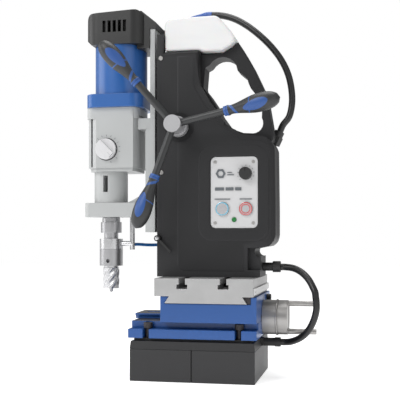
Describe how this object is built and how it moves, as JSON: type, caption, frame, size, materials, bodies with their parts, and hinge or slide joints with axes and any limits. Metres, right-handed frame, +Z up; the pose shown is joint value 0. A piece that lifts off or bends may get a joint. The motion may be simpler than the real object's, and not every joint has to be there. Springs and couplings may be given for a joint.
{
  "type": "magnetic drill press",
  "caption": "Magnetic-base drill on a cross table: twin-magnet foot, slotted table, black column with carry handle, three-arm feed, geared motor and annular cutter.",
  "frame": {"origin": "centre of the foot at its bottom face, where it stands on the work", "axes": "+Z up the column, +X towards the rear (away from the spindle), -Y towards the control panel and feed arms"},
  "size_m": [0.432, 0.2198, 0.6751],
  "materials": {
    "foot_paint": "satin powder coat",
    "blue_paint": "semi-gloss paint",
    "grey_casting": "satin paint on cast aluminium",
    "black_casting": "fine textured powder coat",
    "machined_steel": "ground",
    "bright_steel": "turned",
    "cutter_steel": "ground flutes",
    "screw_steel": "zinc",
    "black_plastic": "fine texture",
    "arm_black": "satin",
    "blue_plastic": "soft touch",
    "white_plastic": "satin gloss",
    "panel_white": "satin",
    "button_metal": "satin chrome",
    "lamp_green": "clear",
    "bronze": "turned",
    "potting": "cast resin",
    "board_green": "solder mask",
    "cable_rubber": "satin",
    "hose_blue": "satin"
  },
  "bodies": {
    "foot": {"magnet_front": "foot_paint", "magnet_rear": "foot_paint", "magnet_spacer": "bronze", "magnet_coils": "potting", "magnet_yoke": "foot_paint", "magnet_gland": "black_plastic", "spacer_plate": "foot_paint", "base_plate": "blue_paint", "base_screws": "screw_steel", "lower_plate": "blue_paint", "x_rail": "machined_steel", "x_bearing": "bright_steel", "cable_lower": "cable_rubber"},
    "wheel": {"handwheel": "bright_steel", "lead_screw": "machined_steel"},
    "saddle": {"saddle": "blue_paint", "x_nut": "bronze", "saddle_gib": "machined_steel", "cable_upper": "cable_rubber"},
    "clamp": {"clamp_lever": "black_plastic"},
    "column": {"table": "machined_steel", "table_strip": "bright_steel", "tee_bolts": "screw_steel", "shell_near": "black_casting", "shell_far": "black_casting", "column_guide": "machined_steel", "cover_screws": "bright_steel", "control_board": "board_green", "panel_plate": "panel_white", "status_lamp": "lamp_green", "coolant_tank": "white_plastic", "tank_cap": "black_plastic", "motor_gland": "black_plastic", "foot_cable_gland": "black_plastic", "motor_cable": "cable_rubber", "cable_sleeve": "blue_plastic"},
    "lock": {"lock_lever": "black_plastic"},
    "knob": {"speed_knob": "black_plastic"},
    "button_left": {"magnet_button": "button_metal"},
    "button_right": {"motor_button": "button_metal"},
    "carriage": {"slide": "grey_casting", "motor_bracket": "grey_casting", "gearbox": "grey_casting", "motor_collar": "blue_paint", "motor_body": "blue_paint", "motor_cap": "black_plastic", "neck": "grey_casting", "lower_bracket": "grey_casting", "coolant_pin": "bright_steel", "coolant_hose": "hose_blue"},
    "selector": {"gear_selector": "bright_steel"},
    "spindle": {"spindle": "bright_steel", "tool_holder": "bright_steel", "cutter": "cutter_steel"},
    "pilot": {"pilot_pin": "bright_steel"},
    "capstan": {"hub": "bright_steel", "feed_arms": "arm_black", "feed_grips": "arm_black", "grip_inlays": "blue_plastic", "pinion_shaft": "machined_steel"}
  },
  "joints": [
    {"name": "x_slide", "type": "slide", "parent": "foot", "child": "saddle", "axis": [1, 0, 0], "range_m": [-0.05, 0], "deforming": ["cable_lower"]},
    {"name": "wheel_turn", "type": "hinge", "parent": "foot", "child": "wheel", "pos_m": [0.14, 0, 0.107], "axis": [1, 0, 0], "range_deg": [-4600, 100]},
    {"name": "y_slide", "type": "slide", "parent": "saddle", "child": "column", "axis": [0, 1, 0], "range_m": [-0.025, 0.025], "deforming": ["cable_upper"]},
    {"name": "clamp_turn", "type": "hinge", "parent": "saddle", "child": "clamp", "pos_m": [0.117, 0.05, 0.1393], "axis": [1, 0, 0], "range_deg": [-40, 25]},
    {"name": "feed_slide", "type": "slide", "parent": "column", "child": "carriage", "axis": [0, 0, -1], "range_m": [0, 0.11], "deforming": ["coolant_hose"]},
    {"name": "capstan_turn", "type": "hinge", "parent": "column", "child": "capstan", "pos_m": [-0.033, 0, 0.4466], "axis": [0, -1, 0], "range_deg": [-5, 460]},
    {"name": "spindle_spin", "type": "hinge", "parent": "carriage", "child": "spindle", "pos_m": [-0.173, 0, 0.2], "axis": [0, 0, -1], "continuous": true},
    {"name": "pilot_slide", "type": "slide", "parent": "spindle", "child": "pilot", "axis": [0, 0, 1], "range_m": [0, 0.03], "stiffness_N_per_m": 60, "springref_m": -0.02},
    {"name": "selector_turn", "type": "hinge", "parent": "carriage", "child": "selector", "pos_m": [-0.169, -0.045, 0.4106], "axis": [0, -1, 0], "range_deg": [0, 90]},
    {"name": "speed_turn", "type": "hinge", "parent": "column", "child": "knob", "pos_m": [0.087, -0.045, 0.3626], "axis": [0, -1, 0], "range_deg": [-135, 135]},
    {"name": "magnet_press", "type": "slide", "parent": "column", "child": "button_left", "axis": [0, 1, 0], "range_m": [0, 0.0025], "stiffness_N_per_m": 800, "springref_m": -0.001},
    {"name": "motor_press", "type": "slide", "parent": "column", "child": "button_right", "axis": [0, 1, 0], "range_m": [0, 0.0025], "stiffness_N_per_m": 800, "springref_m": -0.001},
    {"name": "lock_turn", "type": "hinge", "parent": "column", "child": "lock", "pos_m": [-0.072, -0.047, 0.2486], "axis": [0, -1, 0], "range_deg": [-40, 40]}
  ],
  "couplings": [
    {"joint": "wheel_turn", "follows": "x_slide", "rad_per_m": 1570.8},
    {"joint": "capstan_turn", "follows": "feed_slide", "rad_per_m": 71.429}
  ]
}
